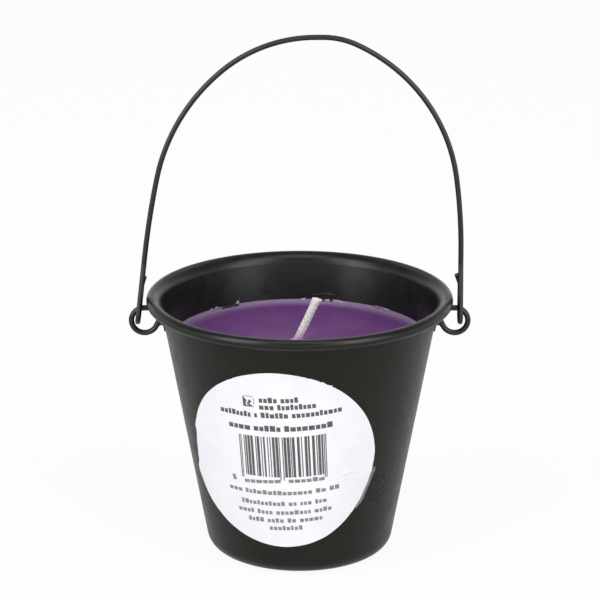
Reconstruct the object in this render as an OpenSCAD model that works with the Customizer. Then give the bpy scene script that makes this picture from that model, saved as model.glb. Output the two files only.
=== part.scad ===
// A bucket candle: a drawn sheet-steel bucket with a rolled rim, two wire ears and a
// wire bail that swings in them, poured full of wax round one leaning wick.
// Millimetres, +Z up, origin at the centre of the base, label on the -Y side.

/* [Bucket] */
// Outer diameter over the rolled rim
rim_d = 87; // [82:0.5:94]
// Diameter of the rolled bead of the rim
bead_d = 3.2; // [2.8:0.1:3.8]
// How far the bead stands out beyond the line of the straight wall
rim_overhang = 3.8; // [3.4:0.05:4.2]
// Height from the table to the top of the rim
bucket_h = 75.4; // [68:0.1:82]
// Diameter that the straight wall would have if it ran down to the table
foot_d = 51.9; // [46:0.1:58]
// Thickness of the steel sheet
sheet_t = 0.45; // [0.35:0.05:0.7]
// Outer radius of the rounded corner between wall and base
corner_r = 4.9; // [3:0.1:8]
// Bend radius of the shoulder that leads the wall into the bead, to the middle of the sheet
shoulder_r = 3.4; // [3.1:0.1:4.5]
// How far round the sheet is rolled in the bead, in degrees
curl_turn = 275; // [180:5:280]

/* [Base panel] */
// Height of the raised panel that keeps the middle of the base off the table
panel_h = 0.8; // [0.4:0.1:1.6]
// Radius of the flat part of the raised panel
panel_r = 16.5; // [14:0.5:18]
// Width of the slope round the raised panel
panel_slope_w = 1.6; // [1:0.1:2.5]

/* [Ears] */
// Wire diameter of the ears
ear_wire_d = 1.6; // [1.2:0.1:2]
// Bend radius of an ear's ring, to the middle of the wire
ear_ring_r = 3.7; // [3.4:0.1:4.6]
// Distance of a ring's middle outside the rim
ear_out = 0.6; // [0.2:0.1:2]
// Clearance between the top of a ring and the underside of the bead
ear_bead_gap = 0.25; // [0.1:0.05:0.6]
// Angle at which the lower end of an ear's wire runs up to the wall, in degrees
ear_end_lean = 38; // [32:1:46]
// Thickness of the flat foot that is welded to the wall
ear_foot_t = 0.5; // [0.4:0.05:0.8]
// Width of that foot round the bucket
ear_foot_w = 2.4; // [1.8:0.1:4]
// How far that foot reaches down the wall below the middle of the ring
ear_foot_drop = 4.4; // [4:0.1:7]
// Radius of the hollow fillet of solder between the ring and its foot
ear_fillet_r = 0.7; // [0.5:0.05:1]
// Width of that fillet
ear_fillet_w = 1.2; // [0.8:0.1:1.4]

/* [Bail] */
// Wire diameter of the bail
bail_wire_d = 1.5; // [1.2:0.1:1.6]
// Height of the top of the arch above the hinge axis, to the middle of the wire
bail_rise = 78.8; // [70:0.1:90]
// Distance by which the hand-bent arch has its top off the middle
bail_top_x = 4.7; // [-6:0.1:6]
// Half the flat top of the arch, left and right
bail_flat = [0.2, 1.8]; // [0.1:0.1:6]
// Bend radius of the two upper bends, left and right
bail_upper_r = [40.5, 22]; // [15:0.5:45]
// Turn of the two upper bends in degrees, left and right
bail_upper_turn = [40, 25]; // [20:1:44]
// Turn of the slight bend above each leg in degrees, left and right
bail_leg_turn = [5.5, 8]; // [4:0.5:10]
// Length of the straight leg between the kink above a hook and that bend, left and right
bail_leg_len = [1.5, 2.5]; // [0.5:0.5:6]
// Lean of the two legs, outward as they go down, in degrees, left and right
bail_lean = [6.5, 0]; // [0:0.5:8]

/* [Bail hooks] */
// Distance of a hook outside the middle of its ring
hook_out = 1.45; // [0:0.05:1.5]
// Bend radius of a hook, to the middle of the wire
hook_r = 2.4; // [2.3:0.05:2.6]
// Depth of the bottom of a hook below the hinge axis, to the middle of the wire
hook_drop = 3.75; // [3.4:0.05:3.9]
// Height of the kink above the hinge axis, where a leg starts to run forward to its hook
kink_h = 13; // [10:0.5:20]
// Bend radius of the kink, to the middle of the wire
kink_r = 4; // [2:0.5:8]
// Angle at which a hook's return leans back to its leg, in degrees
return_lean = 7; // [3:0.5:8]
// Length of the straight part of a hook's return
return_len = 7.6; // [5:0.1:9]
// Angle by which the tip of the return bends in towards the bucket, in degrees, left and right
return_tuck = [10, 20]; // [4:1:24]
// Radius of that bend, to the middle of the wire
return_bend_r = 4; // [2:0.5:6]
// Length of the straight tip of the return
return_tip_len = 2.3; // [1:0.1:4]

/* [Candle] */
// Depth of the wax surface below the top of the rim
wax_drop = 14.2; // [10:0.1:30]
// Clearance between the wax and the metal
wax_gap = 0.05; // [0.02:0.01:0.2]
// Height to which the wax climbs the wall
wax_climb_h = 0.9; // [0.4:0.1:2]
// Radius of the curve by which it climbs
wax_climb_r = 1.8; // [1.2:0.1:3]
// Height of the collar of wax round the wick
wax_collar_h = 0.8; // [0.3:0.1:1.5]
// Radius of the curve of that collar
wax_collar_r = 1.5; // [1:0.1:3]
// Diameter of the wick
wick_d = 2.4; // [1.5:0.1:3]
// Place of the wick's foot left or right of the middle
wick_x = -1; // [-3:0.1:3]
// Depth below the wax surface at which the wick starts to lean
wick_bend_depth = 1.2; // [0:0.1:6]
// Bend radius of the wick, to its middle
wick_bend_r = 4; // [3:0.5:12]
// Angle by which the free end of the wick leans, in degrees
wick_lean = 24.5; // [10:0.5:35]
// Height of the cut at the wick's tip above the wax
wick_h = 12.4; // [6:0.1:16]
// Angle at which that cut slopes down to the side where the wick leans, in degrees
wick_cut = 10; // [0:1:20]

/* [Wick sustainer] */
// Diameter of the disc of the sustainer
disc_d = 20; // [14:0.5:26]
// Thickness of the tinplate of the sustainer
tin_t = 0.3; // [0.2:0.05:0.5]
// Height of the neck of the sustainer above its disc
neck_h = 6; // [3:0.5:9]
// Clearance between the neck and the wick
neck_gap = 0.05; // [0.02:0.01:0.15]

/* [Label] */
// Mean diameter of the round label as a flat sheet
label_d = 57.4; // [40:0.2:60]
// How far the label's outline stands out along its long direction, which makes it oval
label_oval = 1.1; // [0:0.1:3]
// How far the label's outline swings in and out three times round, which makes it egg-shaped
label_egg = 0.9; // [0:0.1:1.5]
// Thickness of the label paper
label_t = 0.12; // [0.08:0.01:0.2]
// Height of the label's middle above the table
label_h = 36.1; // [30:0.1:40]
// Place of the label's middle round the bucket in degrees, towards the left of the front
label_turn = 11.8; // [0:0.1:20]
// Clearance for the glue below the label
label_glue = 0.1; // [0.09:0.01:0.15]
// Thickness of the clear film tab
tab_t = 0.05; // [0.03:0.01:0.06]
// Length of the tab along the label's edge, flat
tab_len = 11.5; // [6:0.5:16]
// Width of the tab from under the label to its free edge, flat
tab_w = 8; // [4:0.5:10]
// Place of the tab round the label's edge, in degrees below its right side
tab_down = 22; // [0:1:60]
// Width of the tab that lies under the label
tab_under = 3; // [1:0.5:4]

/* [Hidden] */
$fn = 144;
LEFT = 0;
RIGHT = 1;
// Slack by which a cutting shape runs past what it cuts
over = 1;
// Facets round a wire
WIRE_SIDES = 64;
// Where two pieces of wire meet: how far each stops short of the joint, and how much wider
// than the wire the ball that fuses them is
joint_gap = 0.01;
joint_swell = 0.01;
// Where a bend of the sheet meets its neighbours: how far it runs on into them, and how far
// below their faces it stays, so that they fuse
seam_lap = 0.03;
seam_step = 0.001;
// Angle at which hollow curves leave the surfaces that they join, in degrees
hollow_leave = 12;

// Straight wall: radius by height, measured on the outside
rim_r = rim_d / 2;
foot_r = foot_d / 2;
bead_r = bead_d / 2;
bead_z = bucket_h - bead_r;
wall_lean = atan((rim_r - rim_overhang - foot_r) / bead_z);
function wall_r(z, inset = 0) = foot_r + z * tan(wall_lean) - inset / cos(wall_lean);

// Base corner: centre of its arc in the section
corner_x = wall_r(corner_r, corner_r);
corner_c = [corner_x, corner_r];
function corner_end(inset) = corner_c + (corner_r - inset) * [cos(wall_lean), -sin(wall_lean)];

// Shoulder and curl: centres of their arcs in the section, and where they meet
curl_r = bead_r - sheet_t / 2;
curl_c = [rim_r - bead_r, bead_z];
wall_to_curl = (curl_c[0] - wall_r(bead_z, sheet_t / 2)) * cos(wall_lean);
shoulder_turn = acos((shoulder_r - wall_to_curl) / (shoulder_r - curl_r));
shoulder_end = 180 - wall_lean - shoulder_turn;
shoulder_c = curl_c - (shoulder_r - curl_r) * [cos(shoulder_end), sin(shoulder_end)];
function shoulder_start(inset) = shoulder_c
    - (shoulder_r - sheet_t / 2 + inset) * [cos(wall_lean), -sin(wall_lean)];

// Raised panel of the base
panel_slope = atan(panel_h / panel_slope_w);
function base_line(inset) = let (shift = inset * tan(panel_slope / 2)) [
    [0, panel_h + inset],
    [panel_r + shift, panel_h + inset],
    [panel_r + panel_slope_w + shift, inset],
    [corner_x, inset]
];
function reversed(list) = [for (i = [len(list) - 1:-1:0]) list[i]];

// Ears: the ring lies in the XZ plane with its top just under the bead. Both ends of the wire
// stop at the paint of the wall, and the lower one is spread into a flat foot.
weld_gap = 0.03;
ear_r = ear_wire_d / 2;
ear_x = rim_r + ear_out;
ear_top_z = bead_z - bead_r - ear_bead_gap - ear_r;
ear_z = ear_top_z - ear_ring_r;
ear_to_wall = (ear_x - wall_r(ear_z)) * cos(wall_lean);
ear_ring_turn = 270 + wall_lean - ear_end_lean;
ear_end_len = (ear_to_wall - ear_ring_r * cos(ear_end_lean)) / sin(ear_end_lean);
ear_end_rise = ear_end_len * cos(ear_end_lean) - ear_ring_r * sin(ear_end_lean);
// Fillet in the section, with the wall as the upright axis: its centre lies at this distance
// from the face of the foot and from the outside of the ring
ear_fillet_reach = ear_fillet_r * cos(hollow_leave);
ear_fillet_x = ear_foot_t + ear_fillet_reach;
ear_fillet_drop = sqrt(pow(ear_ring_r + ear_r + ear_fillet_reach, 2) - pow(ear_to_wall - ear_fillet_x, 2));
ear_fillet_c = [ear_fillet_x, -ear_fillet_drop];
ear_ring_c = [ear_to_wall, 0];
ear_ring_foot = ear_ring_c + ear_ring_r * (ear_fillet_c - ear_ring_c) / norm(ear_fillet_c - ear_ring_c);

// Hinge axis: along X through the rings' top wire where the hooks hang
hook_x = ear_x + hook_out;
axis_z = ear_z + sqrt(pow(ear_ring_r, 2) - pow(hook_out, 2));

// Hooks: each leg runs forward from its kink, round the ring's wire and up behind it
hook_c_drop = hook_drop - hook_r;
hook_splay = atan(hook_r / (kink_h + hook_c_drop));
hook_leg_len = (hook_r * cos(hook_splay) - kink_r * (1 - cos(hook_splay))) / sin(hook_splay);
hook_leg_z = -hook_c_drop + hook_r * sin(hook_splay);
kink_end_z = hook_leg_z + hook_leg_len * cos(hook_splay) + kink_r * sin(hook_splay);

// Arch: each half has three bends. The radii of the side bend and of the bend above the leg
// close it between its hook and the top, which gives two equations for the two radii.
bail_half_w = [hook_x + bail_top_x, hook_x - bail_top_x];
function two_turns(s) = 90 - bail_lean[s] - bail_leg_turn[s];
function side_turn(s) = two_turns(s) - bail_upper_turn[s];
function side_dx(s) = sin(two_turns(s)) - sin(bail_upper_turn[s]);
function side_dz(s) = cos(bail_upper_turn[s]) - cos(two_turns(s));
function leg_dx(s) = cos(bail_lean[s]) - sin(two_turns(s));
function leg_dz(s) = cos(two_turns(s)) - sin(bail_lean[s]);
function straight_end(s) = kink_end_z + bail_leg_len[s];
function rest_w(s) = bail_half_w[s] - bail_flat[s] - bail_upper_r[s] * sin(bail_upper_turn[s])
    - straight_end(s) * sin(bail_lean[s]);
function rest_h(s) = bail_rise - bail_upper_r[s] * (1 - cos(bail_upper_turn[s]))
    - straight_end(s) * cos(bail_lean[s]);
function closing(s) = side_dx(s) * leg_dz(s) - side_dz(s) * leg_dx(s);
function side_r(s) = (rest_w(s) * leg_dz(s) - rest_h(s) * leg_dx(s)) / closing(s);
function leg_r(s) = (rest_h(s) * side_dx(s) - rest_w(s) * side_dz(s)) / closing(s);

// Candle: heights of the floor inside the bucket and of the wax
wax_z = bucket_h - wax_drop;
wax_inset = sheet_t + wax_gap;
wax_edge_z = wax_z + wax_climb_h;
wax_edge_r = wall_r(wax_edge_z, wax_inset);
// Thickness that the climbing wax has left at its upper edge
wax_lip = 0.15;
floor_z = panel_h + sheet_t;
disc_z = floor_z + wax_gap;
wick_hole_d = wick_d + 2 * neck_gap;
neck_d = wick_hole_d + 2 * tin_t;
// Upper end of the wick's bend, and the middle of its cut
wick_bend_x = wick_x + wick_bend_r * (1 - cos(wick_lean));
wick_bend_z = wax_z - wick_bend_depth + wick_bend_r * sin(wick_lean);
wick_cut_z = wax_z + wick_h;
wick_cut_x = wick_bend_x + (wick_cut_z - wick_bend_z) * tan(wick_lean);
wick_free_len = (wick_h + over) / cos(wick_lean);
// How far the wick moves sideways over the height of the collar
collar_shift = wax_collar_h * tan(wick_lean);
collar_x = wick_bend_x + (wax_z - wick_bend_z) * tan(wick_lean) + collar_shift / 2;

// Label: its outline is drawn on the wall rolled out flat, round the tip of its cone
cone_tip = foot_r / tan(wall_lean);
label_slant = (label_h + cone_tip) / cos(wall_lean);
label_c = label_slant * [-sin(label_turn * sin(wall_lean)), cos(label_turn * sin(wall_lean))];
// Directions of the label's long axis and of its blunt side on the flat sheet
label_oval_turn = 24;
label_egg_turn = 87;
LABEL_POINTS = 96;
function label_r(a) = label_d / 2 + label_oval * cos(2 * (a - label_oval_turn))
    + label_egg * cos(3 * (a - label_egg_turn));
function on_wall(p) = let (slant = norm(p), turn = atan2(p[0], p[1]) / sin(wall_lean))
    [slant * sin(wall_lean) * sin(turn), slant * cos(wall_lean) - cone_tip];
function label_edge(a) = label_c + label_r(a) * [cos(a), sin(a)];
// Clearance below the film tab
tab_glue = 0.02;
// Number of points along each side of the tab
TAB_STEPS = 6;
tab_dir = [cos(tab_down), -sin(tab_down)];
tab_side = [sin(tab_down), cos(tab_down)];
tab_start = label_c + (label_r(-tab_down) - tab_under) * tab_dir;
function tab_point(u, v) = on_wall(tab_start + u * tab_w * tab_dir + (v - 0.5) * tab_len * tab_side);

// A slice of a disc in the section, from angle a0 to a1
module pie(centre, r, a0, a1) {
    reach = 2 * r;
    mid = (a0 + a1) / 2;
    translate(centre) intersection() {
        circle(r = r);
        polygon([[0, 0], for (a = [a0, (a0 + mid) / 2, mid, (mid + a1) / 2, a1]) reach * [cos(a), sin(a)]]);
    }
}

// A bend of the sheet in the section, from angle a0 to a1
module bent_strip(centre, r_mid, a0, a1) {
    half_t = sheet_t / 2 - seam_step;
    lap = seam_lap / r_mid * 180 / PI;
    difference() {
        pie(centre, r_mid + half_t, a0 - lap, a1 + lap);
        translate(centre) circle(r = r_mid - half_t);
    }
}

// The rolled bead in the section, open from its end back to the shoulder
module curl_section() {
    difference() {
        translate(curl_c) circle(r = bead_r);
        translate(curl_c) circle(r = bead_r - sheet_t);
        pie(curl_c, bead_r + over, shoulder_end, shoulder_end + 360 - curl_turn);
    }
}

// A ball that fuses two pieces of wire
module joint_ball(d) {
    sphere(d = d + joint_swell, $fn = WIRE_SIDES);
}

// A round wire that starts at the origin along +Z. A step is [length] for a straight piece or
// [bend radius, turn, side] for a bend towards that side, in degrees round the wire from +X.
module bent_wire(d, steps, joined = false, i = 0) {
    if (i < len(steps)) {
        step = steps[i];
        from = joined || i > 0 ? joint_gap : 0;
        to = i < len(steps) - 1 ? joint_gap : 0;
        if (i > 0) joint_ball(d);
        if (len(step) == 1) {
            translate([0, 0, from]) cylinder(d = d, h = step[0] - from - to, $fn = WIRE_SIDES);
            translate([0, 0, step[0]]) bent_wire(d, steps, joined, i + 1);
        } else {
            r = step[0];
            turn = step[1];
            from_turn = 2 * asin(from / (2 * r));
            to_turn = 2 * asin(to / (2 * r));
            rotate([0, 0, step[2]]) {
                translate([r, 0, 0]) rotate([90, 0, 0]) rotate([0, 0, 180 - turn + to_turn])
                    rotate_extrude(angle = turn - from_turn - to_turn)
                        translate([r, 0]) circle(d = d, $fn = WIRE_SIDES);
                translate([r * (1 - cos(turn)), 0, r * sin(turn)]) rotate([0, turn, 0])
                    rotate([0, 0, -step[2]]) bent_wire(d, steps, joined, i + 1);
            }
        }
    }
}

module bucket_section() {
    polygon(concat(base_line(0), reversed(base_line(sheet_t))));
    bent_strip(corner_c, corner_r - sheet_t / 2, -90, -wall_lean);
    polygon([corner_end(0), shoulder_start(0), shoulder_start(sheet_t), corner_end(sheet_t)]);
    bent_strip(shoulder_c, shoulder_r, shoulder_end, 180 - wall_lean);
    curl_section();
}

module bucket() {
    color("#2d2b28") rotate_extrude() bucket_section();
}

// The flat foot of an ear, a tongue with a round end that runs down the wall
module ear_foot() {
    end_r = ear_foot_w / 2;
    translate([-over, 0, 0]) rotate([0, 90, 0]) linear_extrude(height = over + ear_foot_t) {
        translate([-ear_end_rise, -end_r]) square([ear_end_rise + ear_foot_drop - end_r, ear_foot_w]);
        translate([ear_foot_drop - end_r, 0]) circle(r = end_r);
    }
}

// The solder in the wedge between an ear's ring and its foot
module ear_fillet() {
    rotate([90, 0, 0]) linear_extrude(height = ear_fillet_w, center = true) difference() {
        polygon([
            [-over, -ear_fillet_drop],
            ear_fillet_c,
            ear_ring_foot,
            [0, ear_end_rise],
            [-over, ear_end_rise]
        ]);
        translate(ear_fillet_c) circle(r = ear_fillet_r);
    }
}

// The ear on the +X side
module ear() {
    color("#242424") difference() {
        union() {
            translate([0, 0, ear_top_z]) rotate([0, 90, 0]) bent_wire(ear_wire_d, [
                [ear_x],
                [ear_ring_r, ear_ring_turn, 0],
                [ear_end_len]
            ]);
            translate([ear_x, 0, ear_z]) rotate([0, wall_lean, 0]) translate([-ear_to_wall, 0, 0]) {
                ear_foot();
                ear_fillet();
            }
        }
        cylinder(r1 = wall_r(0, -weld_gap), r2 = wall_r(bead_z, -weld_gap), h = bead_z);
    }
}

module ear_right() {
    ear();
}

module ear_left() {
    mirror([1, 0, 0]) ear();
}

// Half of the bail on the +X side, from the tip of its hook's return to the top of the arch
module bail_half(s) {
    translate([hook_x, 0, axis_z]) rotate([0, -bail_lean[s], 0])
        translate([0, -hook_r * cos(hook_splay), hook_leg_z]) {
            joint_ball(bail_wire_d);
            rotate([-hook_splay, 0, 0]) bent_wire(bail_wire_d, [
                [hook_leg_len],
                [kink_r, hook_splay, -90],
                [bail_leg_len[s]],
                [leg_r(s), bail_leg_turn[s], 180],
                [side_r(s), side_turn(s), 180],
                [bail_upper_r[s], bail_upper_turn[s], 180],
                [bail_flat[s] - joint_gap]
            ], true);
            rotate([180 - hook_splay, 0, 0]) bent_wire(bail_wire_d, [
                [hook_r, 180 + hook_splay + return_lean, -90],
                [return_len],
                [return_bend_r, return_tuck[s], 180],
                [return_tip_len]
            ], true);
        }
}

module bail_handle() {
    color("#222222") {
        bail_half(RIGHT);
        mirror([1, 0, 0]) bail_half(LEFT);
        translate([bail_top_x, 0, axis_z + bail_rise]) joint_ball(bail_wire_d);
    }
}

// How far a circle of radius r, sunk to leave the wax at hollow_leave, reaches at height h
function hollow_reach(r, h) = sqrt(pow(r, 2) - pow(r * cos(hollow_leave) - h, 2));

// The air that hollows a curve of wax of height h over the surface, by a circle of radius r
module hollow(x, r, h) {
    intersection() {
        translate([x - r, 0]) square([2 * r, h + over]);
        translate([x, r * cos(hollow_leave)]) circle(r = r);
    }
}

module wax_section() {
    hollow_x = wax_edge_r - wax_lip - hollow_reach(wax_climb_r, wax_climb_h);
    difference() {
        union() {
            polygon(concat(base_line(wax_inset), [
                corner_end(wax_inset),
                [wax_edge_r, wax_edge_z],
                [0, wax_edge_z]
            ]));
            pie(corner_c, corner_r - wax_inset - seam_step, -90, -wall_lean);
        }
        translate([-over, wax_z]) square([over + hollow_x, wax_climb_h + over]);
        translate([0, wax_z]) hollow(hollow_x, wax_climb_r, wax_climb_h);
    }
}

module wax_collar() {
    hollow_x = (wick_hole_d + collar_shift) / 2 + wax_lip + hollow_reach(wax_collar_r, wax_collar_h);
    translate([collar_x, 0, wax_z]) rotate_extrude() difference() {
        translate([0, -over]) square([hollow_x, over + wax_collar_h]);
        hollow(hollow_x, wax_collar_r, wax_collar_h);
    }
}

module wax() {
    color("#6b4478") difference() {
        union() {
            rotate_extrude() wax_section();
            wax_collar();
        }
        wick_run(wick_hole_d);
        translate([wick_x, 0, 0]) {
            cylinder(d = disc_d + 2 * wax_gap, h = disc_z + tin_t + wax_gap);
            cylinder(d = neck_d + 2 * wax_gap, h = disc_z + tin_t + neck_h + wax_gap);
        }
    }
}

// The way of the wick, from the sustainer to past its cut
module wick_run(d) {
    translate([wick_x, 0, disc_z]) bent_wire(d, [
        [wax_z - wick_bend_depth - disc_z],
        [wick_bend_r, wick_lean, 0],
        [wick_free_len]
    ]);
}

module wick() {
    color("#e6dfd6") difference() {
        wick_run(wick_d);
        translate([wick_cut_x, 0, wick_cut_z]) rotate([0, wick_cut, 0])
            translate([-bucket_h / 2, -bucket_h / 2, 0]) cube(bucket_h);
    }
}

module wick_sustainer() {
    color("#b9bcc0") translate([wick_x, 0, disc_z]) difference() {
        union() {
            cylinder(d = disc_d, h = tin_t);
            cylinder(d = neck_d, h = tin_t + neck_h);
        }
        translate([0, 0, -over]) cylinder(d = wick_hole_d, h = tin_t + neck_h + 2 * over);
    }
}

// A thin skin on the outside of the straight wall, cut to an outline in the XZ plane
module wall_skin(gap, t, outline) {
    intersection() {
        difference() {
            cylinder(r1 = wall_r(0, -gap - t), r2 = wall_r(bead_z, -gap - t), h = bead_z);
            cylinder(r1 = wall_r(0, -gap), r2 = wall_r(bead_z, -gap), h = bead_z);
        }
        rotate([90, 0, 0]) linear_extrude(height = rim_r) polygon(outline);
    }
}

module label() {
    outline = [for (i = [0:LABEL_POINTS - 1]) on_wall(label_edge(i * 360 / LABEL_POINTS))];
    color("#f4f4f8") wall_skin(label_glue, label_t, outline);
}

module clear_tab() {
    outline = concat(
        [for (i = [0:TAB_STEPS - 1]) tab_point(i / TAB_STEPS, 0)],
        [for (i = [0:TAB_STEPS - 1]) tab_point(1, i / TAB_STEPS)],
        [for (i = [0:TAB_STEPS - 1]) tab_point(1 - i / TAB_STEPS, 1)],
        [for (i = [0:TAB_STEPS - 1]) tab_point(0, 1 - i / TAB_STEPS)]
    );
    color("#8d9496", 0.5) wall_skin(tab_glue, tab_t, outline);
}

bucket();
ear_left();
ear_right();
bail_handle();
wax();
wick();
wick_sustainer();
label();
clear_tab();
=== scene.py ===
"""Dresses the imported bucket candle: paint, wax, wick, label and film, in a plain white studio."""
import math
import random

import bmesh
import bpy
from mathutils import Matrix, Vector, noise


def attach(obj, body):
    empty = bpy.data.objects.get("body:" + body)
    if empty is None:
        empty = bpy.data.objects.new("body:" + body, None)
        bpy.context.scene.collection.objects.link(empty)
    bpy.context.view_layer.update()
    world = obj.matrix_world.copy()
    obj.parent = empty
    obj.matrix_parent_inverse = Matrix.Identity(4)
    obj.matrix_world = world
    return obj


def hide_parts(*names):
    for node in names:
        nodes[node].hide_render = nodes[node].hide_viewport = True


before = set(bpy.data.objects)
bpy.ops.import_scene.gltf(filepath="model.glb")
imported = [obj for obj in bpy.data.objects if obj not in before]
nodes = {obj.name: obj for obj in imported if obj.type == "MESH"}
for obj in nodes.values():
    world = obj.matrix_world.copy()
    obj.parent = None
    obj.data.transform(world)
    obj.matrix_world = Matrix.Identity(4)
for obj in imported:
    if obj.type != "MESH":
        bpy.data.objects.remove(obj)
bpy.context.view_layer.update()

# Sizes repeated from the part's source, in millimetres
MM = 0.001
RIM_R = 43.5
FOOT_R = 25.95
BEAD_Z = 73.8
RIM_OVERHANG = 3.8
SHEET_T = 0.45
WALL_LEAN = math.atan((RIM_R - RIM_OVERHANG - FOOT_R) / BEAD_Z)
SIN_LEAN = math.sin(WALL_LEAN)
COS_LEAN = math.cos(WALL_LEAN)
CONE_TIP = FOOT_R / math.tan(WALL_LEAN)
RIM_BOTTOM_Z = 72.0
WAX_Z = 61.2
DISC_Z = 1.3
WICK_D = 2.4
WICK_X = -1.0
WICK_BEND_DEPTH = 1.2
WICK_BEND_R = 4.0
WICK_LEAN = math.radians(24.5)
WICK_H = 12.4
WICK_CUT = math.radians(10)
LABEL_D = 57.4
LABEL_OVAL = 1.1
LABEL_OVAL_TURN = math.radians(24)
LABEL_EGG = 0.9
LABEL_EGG_TURN = math.radians(87)
LABEL_H = 36.1
LABEL_TURN = math.radians(11.8)
LABEL_GLUE = 0.1
LABEL_T = 0.12
LABEL_SLANT = (LABEL_H + CONE_TIP) / COS_LEAN
LABEL_X = -LABEL_SLANT * math.sin(LABEL_TURN * SIN_LEAN)
LABEL_Y = LABEL_SLANT * math.cos(LABEL_TURN * SIN_LEAN)


def wall_r(z, inset=0.0):
    """Radius of the straight wall at a height, measured on its outside, less an inset."""
    return FOOT_R + z * math.tan(WALL_LEAN) - inset / COS_LEAN


def on_wall(x, y, lift):
    """A point in metres, from a place on the wall rolled out flat and a lift off the paint."""
    slant = math.hypot(x, y)
    turn = math.atan2(x, y) / SIN_LEAN
    r = slant * SIN_LEAN + lift * COS_LEAN
    z = slant * COS_LEAN - CONE_TIP - lift * SIN_LEAN
    return Vector((r * math.sin(turn), -r * math.cos(turn), z)) * MM


def inside_wall(turn, z, lift):
    """A point in metres on the inside of the wall, lifted off it; turn 0 is at the back."""
    r = wall_r(z, SHEET_T + lift)
    return Vector((r * math.sin(turn), r * math.cos(turn), z)) * MM


WICK_RISE = WAX_Z - WICK_BEND_DEPTH - DISC_Z
WICK_BEND_LEN = WICK_BEND_R * WICK_LEAN
WICK_BEND_X = WICK_X + WICK_BEND_R * (1 - math.cos(WICK_LEAN))
WICK_BEND_Z = WAX_Z - WICK_BEND_DEPTH + WICK_BEND_R * math.sin(WICK_LEAN)
WICK_CUT_Z = WAX_Z + WICK_H
WICK_CUT_X = WICK_BEND_X + (WICK_CUT_Z - WICK_BEND_Z) * math.tan(WICK_LEAN)
WICK_LEN = WICK_RISE + WICK_BEND_LEN + (WICK_CUT_Z - WICK_BEND_Z) / math.cos(WICK_LEAN)
# The middle of the painted glow in the wax, where the wick comes out of it
WICK_FOOT_UP = 0.3
WICK_FOOT = (WICK_BEND_X * MM, 0.0, (WAX_Z + WICK_FOOT_UP) * MM)
# Edges of a piece that are sharper than this stay sharp where the rest is smooth
SHARP_ANGLE = math.radians(50)


def wick_frame(s):
    """Middle of the wick and its lean at a length along it, from the sustainer up."""
    lean = min(max(s - WICK_RISE, 0.0), WICK_BEND_LEN) / WICK_BEND_R
    x = WICK_X + WICK_BEND_R * (1 - math.cos(lean))
    z = DISC_Z + min(s, WICK_RISE) + WICK_BEND_R * math.sin(lean)
    free = max(0.0, s - WICK_RISE - WICK_BEND_LEN)
    return x + free * math.sin(lean), z + free * math.cos(lean), lean


def round_wick(s, turn, r):
    """A point in metres at a turn and a radius round the wick."""
    x, z, lean = wick_frame(s)
    out = r * math.cos(turn)
    return Vector((x + out * math.cos(lean), r * math.sin(turn), z - out * math.sin(lean))) * MM


def new_piece(name, verts, faces, body, slot, material, smooth=True):
    """A mesh object in metres that rides on a body."""
    mesh = bpy.data.meshes.new(name)
    mesh.from_pydata([tuple(v) for v in verts], [], faces)
    mesh.validate()
    shell = bmesh.new()
    shell.from_mesh(mesh)
    bmesh.ops.recalc_face_normals(shell, faces=shell.faces)
    shell.to_mesh(mesh)
    shell.free()
    for poly in mesh.polygons:
        poly.use_smooth = smooth
    piece = bpy.data.objects.new(name, mesh)
    bpy.context.scene.collection.objects.link(piece)
    piece.data.materials.append(material)
    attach(piece, body)
    return piece


# Materials

# Colours as linear red, green and blue
PAINT_DARK = (0.0058, 0.0056, 0.0051)
PAINT_LIGHT = (0.0082, 0.008, 0.0073)
PAINT_DUST = (0.06, 0.058, 0.054)
WIRE_DARK = (0.01, 0.01, 0.0098)
WIRE_LIGHT = (0.015, 0.0148, 0.0145)
WAX_DEEP = (0.122, 0.034, 0.175)
WAX_CLOUDED = (0.152, 0.054, 0.198)
WAX_FLECKED = (0.2, 0.11, 0.25)
# Painted highlights on the wax where it climbs the wall, the second one mostly at the back
WAX_CLIMB_HIGHLIGHT = (0.24, 0.16, 0.28)
WAX_BACK_HIGHLIGHT = (0.25, 0.165, 0.29)
# Painted glow: the wax is lighter round the wick's foot
WAX_GLOW_NEAR_WICK = (0.2, 0.085, 0.235)
WAX_ON_WICK = (0.56, 0.3, 0.56)
COTTON_DARK = (0.88, 0.84, 0.77)
COTTON_LIGHT = (0.96, 0.94, 0.89)
COTTON_WAXED = (0.94, 0.84, 0.92)
COTTON_STAINED = (0.57, 0.23, 0.53)
COTTON_CUT = (0.97, 0.96, 0.92)
PAPER_DARK = (0.86, 0.865, 0.91)
PAPER_LIGHT = (0.91, 0.912, 0.945)
TIN_DARK = (0.55, 0.56, 0.57)
TIN_LIGHT = (0.7, 0.71, 0.72)

# Masks: features per metre, detail, the levels of the noise that they run between, and their most
PAINT_CLOUD = (90, 5, 0.35, 0.7)
PAINT_SPECKS = (1500, 2, 0.7, 0.78, 0.35)
WAX_FLECKS = (900, 3, 0.68, 0.78, 0.4)
CRUMB_MOTTLE = (1100, 4, 0.35, 0.65)
COTTON_MOTTLE = (420, 3, 0.45, 0.65, 0.5)
PAPER_CLOUD = (120, 5, 0.3, 0.7)
TONER_MOTTLE = (1700, 4, 0.3, 0.75)
# Noises that are no plain mask: features per metre, detail, and the noise's roughness and distortion
WAX_CLOUD = (55, 5, 0.55, 0.4)
COTTON_FIBRE = (4200, 4, 0.7)
ROLLING_LINES = (1800, 3, 0.6, 1.5)
# Levels of a noise that take in nearly all of it
WIDE_LEVELS = (0.3, 0.7)
WAX_LEVELS = (0.3, 0.72)
# Uneven gloss: features per metre, detail, and the roughness where smooth and where rough
PAINT_GLOSS = (260, 4, 0.25, 0.36)
WAX_GLOSS = (140, 4, 0.38, 0.5)
FILM_GLOSS = (700, 3, 0.12, 0.24)
FOLD_GLOSS = (700, 3, 0.25, 0.37)
TIN_GLOSS = (0.22, 0.4)
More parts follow.
